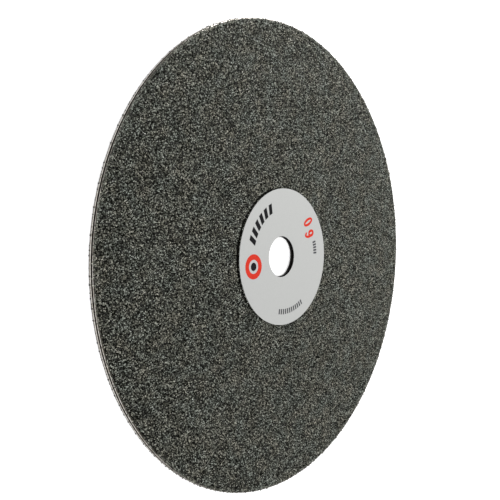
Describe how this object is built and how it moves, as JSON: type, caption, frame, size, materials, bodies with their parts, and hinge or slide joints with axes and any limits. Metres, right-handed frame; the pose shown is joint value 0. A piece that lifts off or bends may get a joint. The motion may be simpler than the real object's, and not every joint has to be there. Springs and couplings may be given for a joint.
{
  "type": "diamond grinding disc",
  "caption": "Thin flat metal disc with a round arbor hole, coarse diamond grit plated over one face and along its rim, and a round paper label about the hole.",
  "frame": {"origin": "centre of the bore on the back face, where the disc rests on a table or a backing flange", "axes": "+Z along the spin axis, out of the coated face; +Y is the way up of the label's print; +X to its right"},
  "size_m": [0.1504, 0.1504, 0.0019],
  "materials": {
    "steel": "hot-rolled steel sheet with its dark scale, bare on the wall of the bore",
    "nickel_back": "satin nickel plating with faint rolling marks",
    "nickel_rim": "glossy nickel plating, slightly bumpy",
    "nickel_bond": "matt dark nickel between the grains",
    "diamond": "coarse dark grey-green diamond grains, sharp, with small bright facets",
    "adhesive": "pressure-sensitive adhesive film",
    "label": "light grey-white satin label stock",
    "ink_black": "printed black ink",
    "ink_red": "printed red ink",
    "ink_grey": "printed dark grey ink"
  },
  "bodies": {
    "root": {"steel_core": "steel", "back_plating": "nickel_back", "rim_plating": "nickel_rim", "front_bond": "nickel_bond", "diamond_grit": "diamond", "rim_grit": "diamond", "back_edge_grit": "diamond", "label_adhesive": "adhesive", "label_face": "label", "print_title_strokes": "ink_black", "print_emblem_ring": "ink_red", "print_emblem_dot": "ink_black", "print_grit_number": "ink_red", "print_field_marks": "ink_grey"}
  },
  "joints": []
}
